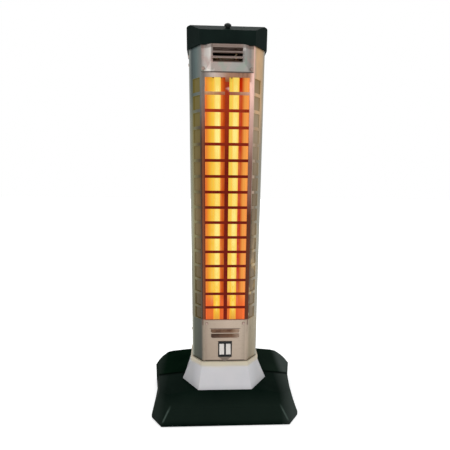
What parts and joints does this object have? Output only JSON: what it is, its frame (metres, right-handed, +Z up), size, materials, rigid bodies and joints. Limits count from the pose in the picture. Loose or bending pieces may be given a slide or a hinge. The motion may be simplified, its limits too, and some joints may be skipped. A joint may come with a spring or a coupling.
{
  "type": "quartz heater",
  "caption": "Upright quartz heater: folded steel column with a punched grille, glowing quartz tubes, rocker switches and a wide black base.",
  "frame": {"origin": "on the floor, at the middle of the heater's footprint", "axes": "+Z up, -Y out of the front grille, +X to the viewer's right"},
  "size_m": [0.282, 0.2152, 0.6486],
  "materials": {
    "black_plastic": "satin moulded",
    "black_gloss": "smooth moulded",
    "white_plastic": "satin moulded",
    "painted_sheet": "satin paint on folded sheet",
    "panel_steel": "brushed",
    "zinc_sheet": "zinc plated",
    "screw_steel": "plated",
    "switch_black": "smooth moulded",
    "rocker_grey": "smooth moulded",
    "brass": "plain",
    "quartz": "polished",
    "element_wire": "drawn wire",
    "ceramic_white": "unglazed",
    "polished_reflector": "polished sheet",
    "block_plastic": "moulded",
    "lead_sleeve": "woven glass sleeve",
    "rubber": "moulded"
  },
  "bodies": {
    "heater": {"base_front_half": "black_plastic", "base_rear_half": "black_plastic", "rubber_feet": "rubber", "foot_screws": "screw_steel", "foot_plate": "zinc_sheet", "foot_plate_screws": "screw_steel", "column_foot_screws": "screw_steel", "collar": "white_plastic", "grille_shell": "painted_sheet", "rear_cover": "painted_sheet", "bracket_screws": "screw_steel", "rear_cover_screws": "screw_steel", "upper_vent_panel": "panel_steel", "control_panel": "panel_steel", "panel_screws": "screw_steel", "switch_housing": "switch_black", "switch_terminals": "brass", "lower_tube_bracket": "zinc_sheet", "upper_tube_bracket": "zinc_sheet", "quartz_tube_left": "quartz", "heating_coil_left": "element_wire", "lower_cap_left": "ceramic_white", "upper_cap_left": "ceramic_white", "quartz_tube_right": "quartz", "heating_coil_right": "element_wire", "lower_cap_right": "ceramic_white", "upper_cap_right": "ceramic_white", "terminal_bridge": "brass", "lower_terminals": "brass", "upper_terminals": "brass", "reflector": "polished_reflector", "top_bracket": "zinc_sheet", "top_cap": "black_plastic", "cap_screws": "screw_steel", "cap_knob": "black_gloss", "terminal_block": "block_plastic", "cord_gland": "black_gloss", "left_tube_lead": "lead_sleeve", "right_tube_lead": "lead_sleeve", "left_supply_lead": "lead_sleeve", "right_supply_lead": "lead_sleeve", "return_lead": "lead_sleeve"},
    "left_rocker": {"rocker_left": "rocker_grey"},
    "right_rocker": {"rocker_right": "rocker_grey"}
  },
  "joints": [
    {"name": "left_rocker_pivot", "type": "hinge", "parent": "heater", "child": "left_rocker", "pos_m": [-0.00595, -0.04455, 0.1176], "axis": [1, 0, 0], "range_deg": [0, 20]},
    {"name": "right_rocker_pivot", "type": "hinge", "parent": "heater", "child": "right_rocker", "pos_m": [0.00595, -0.04455, 0.1176], "axis": [1, 0, 0], "range_deg": [0, 20]}
  ]
}
